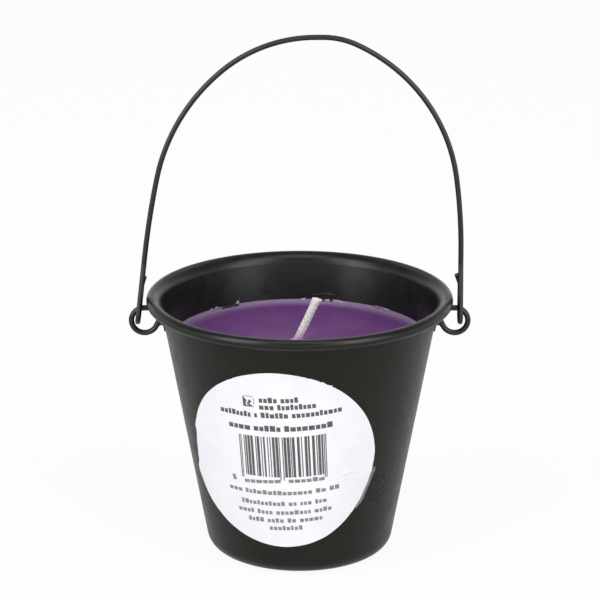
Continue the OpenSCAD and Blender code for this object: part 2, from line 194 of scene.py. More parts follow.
# Relief: features per metre, detail, strength and depth in metres
BUCKET_PEEL = (900, 3, 0.18, 0.00006)
WIRE_PEEL = (1600, 3, 0.18, 0.00006)
WAX_RELIEF = (260, 5, 0.2, 0.00012)
CRUMB_RELIEF = (2400, 3, 0.3, 0.0001)
PAPER_TOOTH = (2600, 4, 0.12, 0.00003)
FIBRE_RELIEF = (0.35, 0.00008)
# Tint of the paint's reflection, on the wires and the rim and on the outer wall
PAINT_TINT = (1.0, 1.0, 0.98)
WALL_TINT = (0.825, 0.8126, 0.7013)

# Reaches over which wax and wick change colour: start and end in mm, and the new colour's share at each.
# They run in height, away from the axis, behind the axis, and away from the wick's foot.
WAX_R = wall_r(WAX_Z, SHEET_T)
# The climb, the band near the wall and the far side place the painted highlights on the wax
WAX_CLIMB = (WAX_Z + 0.04, WAX_Z + 0.5, 0, 0.9)
WAX_HIGHLIGHT_BAND = (WAX_R - 4.2, WAX_R - 0.6, 0, 0.9)
WAX_HIGHLIGHT_FAR_SIDE = (8, 26, 0.3, 1)
WAX_GLOW = (3, 17, 0.6, 0)
WAX_COLLAR = (1.8, 3.1, 0.85, 0)
WICK_STAIN = (WAX_Z + 0.4, WAX_Z + 3.8, 0.85, 0)
WICK_END = (WICK_CUT_Z - 0.9, WICK_CUT_Z - 0.3, 0, 0.8)
# Over how many mm the outer wall's tint gives way to that of the inside and of the rim
SIDE_BLUR = 0.1
RIM_BLUR = 1.0


def new_material(name):
    """A node material with its Principled shader."""
    material = bpy.data.materials.new(name)
    material.use_nodes = True
    tree = material.node_tree
    return material, tree, tree.nodes["Principled BSDF"]


def set_inputs(shader, **values):
    """Sets a shader's own sockets; an underscore in a name stands for a space."""
    for key, value in values.items():
        shader.inputs[key.replace("_", " ")].default_value = value


def object_coords(tree):
    """Places on the object, in metres."""
    return tree.nodes.new("ShaderNodeTexCoord").outputs["Object"]


def add_noise(tree, coords, scale, detail=4.0, roughness=0.5, distortion=0.0):
    """A noise texture over object coordinates; scale counts features per metre."""
    node = tree.nodes.new("ShaderNodeTexNoise")
    set_inputs(node, Scale=scale, Detail=detail, Roughness=roughness, Distortion=distortion)
    tree.links.new(coords, node.inputs["Vector"])
    return node.outputs["Fac"]


def add_range(tree, value, low, high, to_low, to_high):
    """A value taken from one range to another, held at its ends."""
    node = tree.nodes.new("ShaderNodeMapRange")
    set_inputs(node, From_Min=low, From_Max=high, To_Min=to_low, To_Max=to_high)
    tree.links.new(value, node.inputs["Value"])
    return node.outputs["Result"]


def add_mask(tree, coords, scale, detail, low, high, most=1.0):
    """A noise made into a mask: 0 below its low level, and most above its high level."""
    return add_range(tree, add_noise(tree, coords, scale, detail), low, high, 0, most)


def add_reach(tree, value, start, end, at_start, at_end):
    """A mask that changes over a reach in millimetres."""
    return add_range(tree, value, start * MM, end * MM, at_start, at_end)


def add_mix(tree, factor, a, b):
    """A colour between two colours, each a tuple or an output."""
    node = tree.nodes.new("ShaderNodeMix")
    node.data_type = "RGBA"
    tree.links.new(factor, node.inputs["Factor"])
    for socket, colour in ((node.inputs[6], a), (node.inputs[7], b)):
        if isinstance(colour, tuple):
            socket.default_value = (*colour, 1.0)
        else:
            tree.links.new(colour, socket)
    return node.outputs[2]


def add_bump(tree, shader, height, strength, depth):
    """Relief of the surface from a noise; its depth is in metres."""
    node = tree.nodes.new("ShaderNodeBump")
    set_inputs(node, Strength=strength, Distance=depth)
    tree.links.new(height, node.inputs["Height"])
    tree.links.new(node.outputs["Normal"], shader.inputs["Normal"])


def add_relief(tree, coords, shader, scale, detail, strength, depth):
    """Relief from a noise of its own."""
    add_bump(tree, shader, add_noise(tree, coords, scale, detail), strength, depth)


def vary_gloss(tree, coords, shader, scale, detail, smooth, rough):
    """Uneven gloss: roughness from smooth to rough over a noise."""
    gloss = add_range(tree, add_noise(tree, coords, scale, detail), *WIDE_LEVELS, smooth, rough)
    tree.links.new(gloss, shader.inputs["Roughness"])


def add_coordinate(tree, coords, axis="Z"):
    """One coordinate of a place: its height, or its place along another axis."""
    node = tree.nodes.new("ShaderNodeSeparateXYZ")
    tree.links.new(coords, node.inputs["Vector"])
    return node.outputs[axis]


def add_product(tree, a, b):
    """Two masks multiplied."""
    node = tree.nodes.new("ShaderNodeMath")
    node.operation = "MULTIPLY"
    tree.links.new(a, node.inputs[0])
    tree.links.new(b, node.inputs[1])
    return node.outputs["Value"]


def add_radius(tree, coords):
    """The distance from the bucket's axis, in metres."""
    flat = tree.nodes.new("ShaderNodeVectorMath")
    flat.operation = "MULTIPLY"
    tree.links.new(coords, flat.inputs[0])
    flat.inputs[1].default_value = (1.0, 1.0, 0.0)
    node = tree.nodes.new("ShaderNodeVectorMath")
    node.operation = "LENGTH"
    tree.links.new(flat.outputs["Vector"], node.inputs[0])
    return node.outputs["Value"]


def add_distance(tree, coords, centre):
    """The distance from a point, in metres."""
    node = tree.nodes.new("ShaderNodeVectorMath")
    node.operation = "DISTANCE"
    tree.links.new(coords, node.inputs[0])
    node.inputs[1].default_value = centre
    return node.outputs["Value"]


def add_outside(tree, coords):
    """1 on the outer side of the bucket's wall below the rim, 0 on the rim and inside."""
    slope = (wall_r(RIM_BOTTOM_Z) - wall_r(0)) / RIM_BOTTOM_Z
    height = add_coordinate(tree, coords)
    node = tree.nodes.new("ShaderNodeMath")
    node.operation = "MULTIPLY_ADD"
    tree.links.new(height, node.inputs[0])
    node.inputs[1].default_value = -slope
    tree.links.new(add_radius(tree, coords), node.inputs[2])
    middle = wall_r(0) - SHEET_T / 2
    out = add_reach(tree, node.outputs["Value"], middle - SIDE_BLUR, middle + SIDE_BLUR, 0, 1)
    low = add_reach(tree, height, RIM_BOTTOM_Z - RIM_BLUR, RIM_BOTTOM_Z, 1, 0)
    return add_product(tree, out, low)


def paint_material(name, dark, light, specular, peel):
    """Satin black paint: a fine orange peel, a light dusting and uneven gloss."""
    material, tree, shader = new_material(name)
    coords = object_coords(tree)
    colour = add_mix(tree, add_mask(tree, coords, *PAINT_CLOUD), dark, light)
    colour = add_mix(tree, add_mask(tree, coords, *PAINT_SPECKS), colour, PAINT_DUST)
    tree.links.new(colour, shader.inputs["Base Color"])
    vary_gloss(tree, coords, shader, *PAINT_GLOSS)
    set_inputs(shader, Specular_IOR_Level=specular, Specular_Tint=(*PAINT_TINT, 1.0))
    add_relief(tree, coords, shader, *peel)
    return material


def bucket_paint():
    """The bucket's paint, whose reflection is a little weaker and warmer on the outer wall."""
    material = paint_material("black_paint", PAINT_DARK, PAINT_LIGHT, specular=0.4, peel=BUCKET_PEEL)
    tree = material.node_tree
    outside = add_outside(tree, object_coords(tree))
    tint = add_mix(tree, outside, PAINT_TINT, WALL_TINT)
    tree.links.new(tint, tree.nodes["Principled BSDF"].inputs["Specular Tint"])
    return material


def wax_material():
    """Dyed paraffin: light spreads in it and it clouds a little; a painted highlight makes it paler where it
    climbs the wall, more so at the back.
    """
    material, tree, shader = new_material("purple_wax")
    coords = object_coords(tree)
    cloud = add_noise(tree, coords, *WAX_CLOUD)
    body = add_mix(tree, add_range(tree, cloud, *WAX_LEVELS, 0, 1), WAX_DEEP, WAX_CLOUDED)
    body = add_mix(tree, add_mask(tree, coords, *WAX_FLECKS), body, WAX_FLECKED)
    # Painted highlight: paler where the wax climbs the wall, and paler still near the wall at the back
    climb_highlight = add_reach(tree, add_coordinate(tree, coords), *WAX_CLIMB)
    body = add_mix(tree, climb_highlight, body, WAX_CLIMB_HIGHLIGHT)
    highlight_band = add_reach(tree, add_radius(tree, coords), *WAX_HIGHLIGHT_BAND)
    highlight_far_side = add_reach(tree, add_coordinate(tree, coords, "Y"), *WAX_HIGHLIGHT_FAR_SIDE)
    body = add_mix(tree, add_product(tree, highlight_band, highlight_far_side), body, WAX_BACK_HIGHLIGHT)
    from_wick = add_distance(tree, coords, WICK_FOOT)
    # Painted glow round the wick's foot, then the collar of wax on the wick
    body = add_mix(tree, add_reach(tree, from_wick, *WAX_GLOW), body, WAX_GLOW_NEAR_WICK)
    body = add_mix(tree, add_reach(tree, from_wick, *WAX_COLLAR), body, WAX_ON_WICK)
    tree.links.new(body, shader.inputs["Base Color"])
    vary_gloss(tree, coords, shader, *WAX_GLOSS)
    set_inputs(shader, IOR=1.43, Specular_IOR_Level=0.3, Subsurface_Weight=0.3, Subsurface_Scale=0.003,
               Subsurface_Radius=(0.8, 0.35, 1.0))
    add_relief(tree, coords, shader, *WAX_RELIEF)
    return material


def crumb_material(name, dark, light):
    """Chips, strips and specks, and the painted shadow line and highlight on the wall; lighter where they
    are thin.
    """
    material, tree, shader = new_material(name)
    coords = object_coords(tree)
    colour = add_mix(tree, add_mask(tree, coords, *CRUMB_MOTTLE), dark, light)
    tree.links.new(colour, shader.inputs["Base Color"])
    set_inputs(shader, Roughness=0.5, Subsurface_Weight=0.4, Subsurface_Scale=0.0015)
    add_relief(tree, coords, shader, *CRUMB_RELIEF)
    return material


def cotton_material():
    """Waxed cotton yarn: fibres along it, stained by the wax at its foot, brighter at its cut."""
    material, tree, shader = new_material("cotton_wick")
    coords = object_coords(tree)
    fibre = add_noise(tree, coords, *COTTON_FIBRE)
    colour = add_mix(tree, add_range(tree, fibre, *WIDE_LEVELS, 0, 1), COTTON_DARK, COTTON_LIGHT)
    colour = add_mix(tree, add_mask(tree, coords, *COTTON_MOTTLE), colour, COTTON_WAXED)
    height = add_coordinate(tree, coords)
    colour = add_mix(tree, add_reach(tree, height, *WICK_STAIN), colour, COTTON_STAINED)
    colour = add_mix(tree, add_reach(tree, height, *WICK_END), colour, COTTON_CUT)
    tree.links.new(colour, shader.inputs["Base Color"])
    set_inputs(shader, Roughness=0.75, Sheen_Weight=0.3, Sheen_Roughness=0.4, Subsurface_Weight=0.15,
               Subsurface_Scale=0.0008)
    add_bump(tree, shader, fibre, *FIBRE_RELIEF)
    return material


def paper_material():
    """Coated label paper: a faint cloud and fine tooth."""
    material, tree, shader = new_material("white_paper")
    coords = object_coords(tree)
    colour = add_mix(tree, add_mask(tree, coords, *PAPER_CLOUD), PAPER_DARK, PAPER_LIGHT)
    tree.links.new(colour, shader.inputs["Base Color"])
    set_inputs(shader, Roughness=0.5, Specular_IOR_Level=0.4)
    add_relief(tree, coords, shader, *PAPER_TOOTH)
    return material


def ink_material(name, dark, light):
    """Grey toner, a little uneven."""
    material, tree, shader = new_material(name)
    coords = object_coords(tree)
    colour = add_mix(tree, add_mask(tree, coords, *TONER_MOTTLE), dark, light)
    tree.links.new(colour, shader.inputs["Base Color"])
    set_inputs(shader, Roughness=0.55)
    return material


def film_material(name, colour, alpha, gloss):
    """Clear polyester film with faint streaks."""
    material, tree, shader = new_material(name)
    vary_gloss(tree, object_coords(tree), shader, *gloss)
    set_inputs(shader, Base_Color=(*colour, 1.0), Alpha=alpha, IOR=1.5)
    return material


def tin_material():
    """Tinplate: bright, with fine rolling lines."""
    material, tree, shader = new_material("tinplate")
    lines = add_noise(tree, object_coords(tree), *ROLLING_LINES)
    tree.links.new(add_range(tree, lines, *WIDE_LEVELS, *TIN_GLOSS), shader.inputs["Roughness"])
    tree.links.new(add_mix(tree, lines, TIN_DARK, TIN_LIGHT), shader.inputs["Base Color"])
    set_inputs(shader, Metallic=1.0)
    return material


black_paint = bucket_paint()
black_wire = paint_material("black_wire", WIRE_DARK, WIRE_LIGHT, specular=0.6, peel=WIRE_PEEL)
purple_wax = wax_material()
pale_crumb = crumb_material("pale_crumb", dark=(0.38, 0.28, 0.42), light=(0.72, 0.66, 0.74))
# Near-black: the painted shadow line on the wall, and the dark strips at the wax's edge
shadow_and_dark_strips = crumb_material("shadow_and_dark_strips", dark=(0.004, 0.004, 0.004), light=(0.012, 0.01, 0.012))
# Dust on the wall, and the pale painted highlight along the shadow line's upper edge
dust_and_highlight = crumb_material("dust_and_highlight", dark=(0.016, 0.016, 0.015), light=(0.055, 0.055, 0.05))
cotton = cotton_material()
paper = paper_material()
bold_toner = ink_material("bold_toner", dark=(0.055, 0.055, 0.057), light=(0.15, 0.15, 0.15))
fine_toner = ink_material("fine_toner", dark=(0.17, 0.17, 0.175), light=(0.33, 0.33, 0.33))
film = film_material("clear_film", colour=(0.03, 0.036, 0.036), alpha=0.14, gloss=FILM_GLOSS)
# The folded edge is real, but its nearly opaque grey is a painted reflection of the light it catches
film_fold_sheen = film_material("film_fold_sheen", colour=(0.16, 0.178, 0.188), alpha=0.9, gloss=FOLD_GLOSS)
tinplate = tin_material()

CAD_FINISHES = {
    "bucket": black_paint,
    "ear_left": black_wire,
    "ear_right": black_wire,
    "bail_handle": black_wire,
    "wax": purple_wax,
    "wick": cotton,
    "wick_sustainer": tinplate,
    "label": paper,
    "clear_tab": film,
}
for node_name, finish in CAD_FINISHES.items():
    nodes[node_name].data.materials.clear()
    nodes[node_name].data.materials.append(finish)


# Wick: two sets of yarns braided over a core, cut off square with a slight slant

# Yarns in each set, their turn round the wick in radians per mm, their radius, how far they weave in and
# out, half their width and half their thickness in mm, and the step along them
YARNS = 8
YARN_TURN = 0.58
YARN_R = 0.9
YARN_WEAVE = 0.1
YARN_W = 0.34
YARN_T = 0.18
YARN_STEP = 0.12
YARN_SIDES = 8
YARN_START = WICK_RISE - 1.0
# How far a yarn strays from its round, how fast, and what sets the yarns apart
YARN_STRAY = 0.03
YARN_STRAY_RATE = 0.9
YARN_SEED = 3.1
HAND_SEED = 7.7
# How much wider the braid is at its cut, and over what length
WICK_SPREAD = 0.2
WICK_SPREAD_LEN = 3.2
# The core inside the braid: radius and sides, how far below the yarns' start its last ring in the wax
# lies, and rings over the bend
CORE_R = 0.86
CORE_SIDES = 24
CORE_LEAD = 2.0
CORE_BEND_RINGS = 6
# The soft braid's cut is a little steeper and higher than the plain wick's
BRAID_CUT = WICK_CUT + math.radians(5)
BRAID_PAST = 0.16
# Yarns and core run on past the cut by this much before they are cut
CUT_SPARE = 1.0


def wick_spread(s):
    """How much wider the braid is at a length, where the cut end has opened up."""
    share = max(0.0, 1 - (WICK_LEN - s) / WICK_SPREAD_LEN)
    return 1 + WICK_SPREAD * share * share


def add_tube(verts, faces, rings):
    """A closed tube over rings of points."""
    sides = len(rings[0])
    start = len(verts)
    for ring in rings:
        verts.extend(ring)
    for i in range(len(rings) - 1):
        for j in range(sides):
            a = start + i * sides + j
            b = start + i * sides + (j + 1) % sides
            faces.append((a, b, b + sides, a + sides))
    faces.append(tuple(range(start + sides - 1, start - 1, -1)))
    faces.append(tuple(range(start + (len(rings) - 1) * sides, start + len(rings) * sides)))


def yarn_rings(number, hand):
    """Rings of one yarn; hand is 1 or -1 for the way it winds."""
    crossing = math.pi / (YARNS * YARN_TURN)
    rings = []
    steps = int((WICK_LEN + CUT_SPARE - YARN_START) / YARN_STEP)
    for i in range(steps + 1):
        s = YARN_START + i * YARN_STEP
        turn = 2 * math.pi * number / YARNS + hand * YARN_TURN * (s - YARN_START)
        middle = YARN_R + hand * YARN_WEAVE * math.cos(math.pi * (s - YARN_START) / crossing)
        seed = Vector((s * YARN_STRAY_RATE, number * YARN_SEED, hand * HAND_SEED))
        middle += YARN_STRAY * noise.noise(seed)
        ring = []
        for j in range(YARN_SIDES):
            a = 2 * math.pi * j / YARN_SIDES
            r = (middle + YARN_T * math.sin(a)) * wick_spread(s)
            ring.append(round_wick(s, turn + YARN_W * math.cos(a) / middle, r))
        rings.append(ring)
    return rings


def core_rings():
    """Rings of the core: full width in the wax, and slimmer inside the braid."""
    bend = [WICK_RISE + WICK_BEND_LEN * i / CORE_BEND_RINGS for i in range(1, CORE_BEND_RINGS + 1)]
    foot = [0.0, YARN_START - CORE_LEAD, YARN_START, WICK_RISE]
    head = [WICK_LEN - WICK_SPREAD_LEN, WICK_LEN, WICK_LEN + CUT_SPARE]
    rings = []
    for s in foot + bend + head:
        r = (WICK_D / 2 if s < WICK_RISE else CORE_R) * wick_spread(s)
        rings.append([round_wick(s, 2 * math.pi * j / CORE_SIDES, r) for j in range(CORE_SIDES)])
    return rings


wick_verts = []
wick_faces = []
add_tube(wick_verts, wick_faces, core_rings())
for yarn in range(YARNS):
    for hand in (1, -1):
        add_tube(wick_verts, wick_faces, yarn_rings(yarn, hand))
wick_piece = new_piece("braided_wick", wick_verts, wick_faces, "root", "cotton_wick", cotton)
cutter = bmesh.new()
cutter.from_mesh(wick_piece.data)
bmesh.ops.bisect_plane(
    cutter, geom=cutter.verts[:] + cutter.edges[:] + cutter.faces[:], clear_outer=True,
    plane_co=Vector((WICK_CUT_X, 0.0, WICK_CUT_Z + BRAID_PAST)) * MM,
    plane_no=Vector((math.sin(BRAID_CUT), 0.0, math.cos(BRAID_CUT))),
)
bmesh.ops.holes_fill(cutter, edges=[edge for edge in cutter.edges if edge.is_boundary], sides=0)
cutter.to_mesh(wick_piece.data)
cutter.free()
wick_piece.data.set_sharp_from_angle(angle=SHARP_ANGLE)
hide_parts("wick")


# Label

LABEL_SPOKES = 400
LABEL_RINGS = 64
LABEL_TOP = LABEL_GLUE + LABEL_T
# The paper's slight waves: height in mm, waves per mm, share of the height that is always there, seed
PAPER_WAVE = 0.035
PAPER_WAVE_RATE = 0.11
PAPER_WAVE_BASE = 0.6
PAPER_SEED = 3.7
# How far the hand-cut edge strays from its oval: angle in degrees and mm outwards, joined by straight lines
EDGE_STRAY = [
    (0, -0.07), (13, -0.05), (30, -0.04), (50, -0.15), (63, -0.2), (76, -0.33), (86, -0.2), (95, -0.04),
    (104, 0.02), (113, 0.2), (130, 0.28), (142, 0.18), (151, -0.07), (160, -0.39), (167, -0.72), (174, -0.7),
    (176, -1.33), (179, -1.72), (190, -1.76), (198, -1.2), (201, -0.02), (204, 0.3), (210, -0.25),
    (219, -0.63), (230, -1.25), (243, -1.11), (255, -0.61), (265, -0.12), (276, 0.29), (289, 0.32),
    (300, 0.12), (308, -0.25), (321, -0.81), (332, -0.86), (337, -0.86), (342, -0.66), (347, -0.6),
    (352, -0.43), (356, -0.27), (360, -0.07),
]
# Small faults of the label's cut edge: angle and half width in degrees, and how far out in mm
EDGE_FAULTS = [
    (65.0, 0.6, -0.3), (62.8, 0.5, 0.18), (60.5, 0.6, -0.22), (57.6, 0.7, 0.3), (56.4, 0.5, -0.45),
    (72.0, 0.6, -0.14), (79.0, 0.5, -0.12), (97.0, 0.6, -0.1), (118.0, 0.8, -0.12), (131.0, 0.6, 0.1),
]
# Creases of the paper: their two ends on the flat sheet, half width and height in mm
CREASES = [
    (12.4, 173.8, 13.6, 174.3, 0.4, 0.32),
    (13.6, 174.3, 19.3, 173.4, 0.4, 0.16),
    (19.3, 173.4, 22.0, 171.9, 0.5, 0.14),
]


def table_value(table, place):
    """The value at a place, in a table of places and values in rising order."""
    for (low, low_value), (high, high_value) in zip(table, table[1:]):
        if place <= high:
            return low_value + (high_value - low_value) * (max(place, low) - low) / (high - low)
    return table[-1][1]


def label_edge(angle):
    """Radius of the label's outline at an angle, in millimetres."""
    r = LABEL_D / 2
    r += LABEL_OVAL * math.cos(2 * (angle - LABEL_OVAL_TURN))
    r += LABEL_EGG * math.cos(3 * (angle - LABEL_EGG_TURN))
    degrees = math.degrees(angle) % 360
    r += table_value(EDGE_STRAY, degrees)
    for centre, half_width, out in EDGE_FAULTS:
        r += out * max(0.0, 1 - abs(degrees - centre) / half_width)
    return r


def segment_distance(x, y, x0, y0, x1, y1):
    """The distance of a place from a straight line between two others, on the flat sheet."""
    along = ((x - x0) * (x1 - x0) + (y - y0) * (y1 - y0)) / ((x1 - x0) ** 2 + (y1 - y0) ** 2)
    along = min(1.0, max(0.0, along))
    return math.hypot(x - x0 - along * (x1 - x0), y - y0 - along * (y1 - y0))


def label_relief(x, y):
    """How far the paper stands off its seat at a place on the flat sheet, in millimetres."""
    seed = Vector((x * PAPER_WAVE_RATE, y * PAPER_WAVE_RATE, PAPER_SEED))
    lift = PAPER_WAVE * (noise.noise(seed) + PAPER_WAVE_BASE)
    for x0, y0, x1, y1, half_width, height in CREASES:
        reach = segment_distance(x, y, x0, y0, x1, y1) / half_width
        lift += height * math.exp(-reach * reach)
    return max(0.0, lift)


def label_mesh():
    """The paper as a closed sheet: rings of points from its middle to its cut edge."""
    verts = []
    faces = []
    for lift in (LABEL_GLUE, LABEL_TOP):
        for ring in range(1, LABEL_RINGS + 1):
            share = ring / LABEL_RINGS
            for spoke in range(LABEL_SPOKES):
                angle = spoke * 2 * math.pi / LABEL_SPOKES
                r = share * label_edge(angle)
                x = LABEL_X + r * math.cos(angle)
                y = LABEL_Y + r * math.sin(angle)
                verts.append(on_wall(x, y, lift + label_relief(x, y)))
        verts.append(on_wall(LABEL_X, LABEL_Y, lift + label_relief(LABEL_X, LABEL_Y)))
    side = LABEL_RINGS * LABEL_SPOKES + 1
    for base in (0, side):
        middle = base + side - 1
        for spoke in range(LABEL_SPOKES):
            after = (spoke + 1) % LABEL_SPOKES
            faces.append((middle, base + spoke, base + after))
            for ring in range(LABEL_RINGS - 1):
                inner = base + ring * LABEL_SPOKES
                outer = inner + LABEL_SPOKES
                faces.append((inner + spoke, outer + spoke, outer + after, inner + after))
    rim = (LABEL_RINGS - 1) * LABEL_SPOKES
    for spoke in range(LABEL_SPOKES):
        after = (spoke + 1) % LABEL_SPOKES
        faces.append((rim + spoke, rim + after, side + rim + after, side + rim + spoke))
    return verts, faces


label_verts, label_faces = label_mesh()
label_piece = new_piece("paper_label", label_verts, label_faces, "root", "white_paper", paper)
label_piece.data.set_sharp_from_angle(angle=SHARP_ANGLE)
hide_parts("label")


# Print on the label: rows of plain blocks, a block of bars and a small corner mark

INK_LOW = LABEL_TOP - 0.02
INK_HIGH = LABEL_TOP + 0.012
# Longest facet of a patch of ink along its row, and how many times longer it may be upwards
INK_STEP = 0.7
INK_STEP_UP = 3


def add_slab(mesh, rows):
    """A closed slab over rows of (x, y, low, high) on the flat sheet, bent round the wall."""
    verts, faces = mesh
    start = len(verts)
    wide = len(rows[0])
    for level in (2, 3):
        for row in rows:
            verts.extend(on_wall(point[0], point[1], point[level]) for point in row)
    layer = len(rows) * wide
    for i in range(len(rows) - 1):
        for j in range(wide - 1):
            a = start + i * wide + j
            faces.append((a, a + wide, a + wide + 1, a + 1))
            faces.append((a + layer, a + layer + 1, a + layer + wide + 1, a + layer + wide))
    last = start + layer - wide
    loop = [start + j for j in range(wide)]
    loop += [start + i * wide + wide - 1 for i in range(1, len(rows))]
    loop += [last + j for j in range(wide - 2, -1, -1)]
    loop += [start + i * wide for i in range(len(rows) - 2, 0, -1)]
    for i, a in enumerate(loop):
        b = loop[(i + 1) % len(loop)]
        faces.append((a, b, b + layer, a + layer))


def add_patch(ink, corners):
    """A thin slab of ink over four corners on the flat sheet, seated on the paper."""
    (ax, ay), (bx, by), (cx, cy), (dx, dy) = corners
    columns = max(1, math.ceil(math.hypot(bx - ax, by - ay) / INK_STEP))
    rows = max(1, math.ceil(math.hypot(dx - ax, dy - ay) / INK_STEP / INK_STEP_UP))
    grid = []
    for i in range(rows + 1):
        v = i / rows
        line = []
        for j in range(columns + 1):
            u = j / columns
            x = (1 - v) * ((1 - u) * ax + u * bx) + v * ((1 - u) * dx + u * cx)
            y = (1 - v) * ((1 - u) * ay + u * by) + v * ((1 - u) * dy + u * cy)
            seat = label_relief(x, y)
            line.append((x, y, INK_LOW + seat, INK_HIGH + seat))
        grid.append(line)
    add_slab(ink, grid)


def set_out(origin, along, corners):
    """Corners given along a base line and up from it, as places on the flat sheet."""
    return [(origin[0] + along[0] * u - along[1] * v, origin[1] + along[1] * u + along[0] * v)
            for u, v in corners]


# Rows: left and right end of the base line on the flat sheet, height of a block, words in blocks
BOLD_ROWS = [
    ((-11.3, 197.2), (-0.4, 198.2), 1.3, (4, 4)),
    ((-11.2, 195.0), (4.5, 196.4), 1.3, (3, 9)),
    ((-23.3, 191.3), (11.8, 194.4), 1.3, (8, 1, 6, 11)),
    ((-20.5, 187.3), (9.2, 189.9), 1.4, (4, 5, 8)),
]
FINE_ROWS = [
    ((-19.5, 170.1), (-18.4, 170.4), 1.3, (1,)),
    ((-15.7, 170.4), (-5.2, 172.1), 1.05, (6,)),
    ((-3.0, 172.3), (7.0, 172.9), 1.05, (6,)),
    ((-20.8, 166.7), (11.2, 169.5), 1.1, (3, 14, 2, 2)),
    ((-16.8, 163.5), (7.6, 165.7), 1.1, (11, 2, 3, 3)),
    ((-17.8, 160.6), (9.0, 162.9), 1.1, (4, 4, 8, 4)),
    ((-14.6, 158.2), (6.4, 160.1), 1.1, (4, 4, 2, 5)),
    ((-8.4, 156.3), (0.8, 157.1), 1.1, (8,)),
]
BLOCK_GAP = 0.3
WORD_GAP = 0.8
# Narrowest and widest block before the row is fitted to its length, and the heights that it may have
BLOCK_WIDTHS = (0.75, 1.2)
BLOCK_RISES = (1.0, 1.0, 1.0, 1.3)


def print_row(ink, row, rng):
    """Small blocks of uneven width, some a little taller, in groups along a base line."""
    left, right, height, words = row
    length = math.hypot(right[0] - left[0], right[1] - left[1])
    along = ((right[0] - left[0]) / length, (right[1] - left[1]) / length)
    widths = [[rng.uniform(*BLOCK_WIDTHS) for _ in range(count)] for count in words]
    gaps = (sum(words) - len(words)) * BLOCK_GAP + (len(words) - 1) * (WORD_GAP + BLOCK_GAP)
    unit = (length - gaps) / sum(sum(word) for word in widths)
    at = 0.0
    for word in widths:
        for width in word:
            rise = height * rng.choice(BLOCK_RISES)
            end = at + width * unit
            add_patch(ink, set_out(left, along, ((at, 0), (end, 0), (end, rise), (at, rise))))
            at += width * unit + BLOCK_GAP
        at += WORD_GAP


# Block of bars: its top and foot on the flat sheet, from left to right
BARS_TOP = ((-17.5, 185.8), (7.3, 187.9))
BARS_FOOT = ((-16.7, 173.0), (7.8, 174.9))
BAR_COUNT = 30
BAR_WEIGHTS = (1, 1, 2, 3)
GUARD_BARS = (0, 1, BAR_COUNT // 2 - 1, BAR_COUNT // 2, BAR_COUNT - 2, BAR_COUNT - 1)
GUARD_DROP = 1.0
INK_SPREAD = 0.25


def print_bars(ink, rng):
    """Upright bars of random width over the block, with three longer pairs."""
    weights = []
    for _ in range(BAR_COUNT):
        weights.append(rng.choice(BAR_WEIGHTS) + INK_SPREAD)
        weights.append(rng.choice(BAR_WEIGHTS) - INK_SPREAD)
    total = sum(weights) - weights[-1]
    at = 0
    for i in range(BAR_COUNT):
        u0 = at / total
        u1 = (at + weights[2 * i]) / total
        at += weights[2 * i] + weights[2 * i + 1]
        corners = []
        for u, (start, end) in ((u0, BARS_TOP), (u1, BARS_TOP), (u1, BARS_FOOT), (u0, BARS_FOOT)):
            corners.append([start[0] + u * (end[0] - start[0]), start[1] + u * (end[1] - start[1])])
        if i in GUARD_BARS:
            corners[2][1] -= GUARD_DROP
            corners[3][1] -= GUARD_DROP
        add_patch(ink, corners)


# The small corner mark: its lower left corner on the flat sheet, its tilt, and its patches in mm
MARK = (-15.95, 195.2)
MARK_TILT = math.radians(5.3)
MARK_PATCHES = [
    ((0, 3.3), (0, 0), (0.85, 0), (0.85, 2.35)),
    ((0.85, 1.3), (1.15, 1.75), (1.15, 2.05), (0.85, 2.35)),
    ((0.85, 0), (3.3, 0), (2.6, 0.4), (0.85, 0.4)),
    ((1.5, 0.4), (2.6, 0.4), (2.05, 0.95), (1.8, 0.85)),
    ((1.1, 0.85), (1.45, 0.55), (2.65, 1.7), (1.95, 2.35)),
    ((0.25, 3.18), (3.1, 3.18), (3.1, 3.34), (0.25, 3.34)),
    ((3.18, 0.6), (3.34, 0.6), (3.34, 2.9), (3.18, 2.9)),
]


def print_mark(ink):
    """The mark's patches, set out at its tilt."""
    along = (math.cos(MARK_TILT), math.sin(MARK_TILT))
    for patch in MARK_PATCHES:
        add_patch(ink, set_out(MARK, along, patch))


PRINT_SEED = 11
print_rng = random.Random(PRINT_SEED)
bold_ink = ([], [])
fine_ink = ([], [])
for print_line in BOLD_ROWS:
    print_row(bold_ink, print_line, print_rng)
for print_line in FINE_ROWS:
    print_row(fine_ink, print_line, print_rng)
print_bars(bold_ink, print_rng)
print_mark(bold_ink)
new_piece("label_print_bold", *bold_ink, "root", "white_paper", bold_toner, smooth=False)
new_piece("label_print_fine", *fine_ink, "root", "white_paper", fine_toner, smooth=False)


# Film behind the label: a flat patch on the wall, and its edge folded up along the label

FILM_LOW = 0.05
FILM_T = 0.04
FILM_OUTER = ((28.6, 166.9), (26.9, 159.2))
FILM_FROM = math.radians(-9.5)
FILM_TO = math.radians(-36)
FILM_STEPS = 26
FILM_COLUMNS = 8
# How far the patch runs in under the label, and how it waves: height in mm, waves per mm and seed
FILM_UNDER = 2.0
FILM_WAVE = 0.02
FILM_WAVE_RATE = 0.6
FILM_SEED = 1.3
# Width of the folded edge along the label, by the angle in degrees
FOLD_WIDTHS = [
    (-36, 0.06), (-34, 0.2), (-32, 0.58), (-28, 0.57), (-26, 0.42), (-17, 0.45), (-15, 0.55), (-13, 0.74),
    (-11.5, 0.8), (-9.5, 0.3),
]
FOLD_COLUMNS = 5
# The fold starts just inside the label's edge, but for a gap at its upper end that is closed a sixth of
# the way down
FOLD_TUCK = 0.1
FOLD_GAP = 0.45
FOLD_GAP_CLOSES = 6
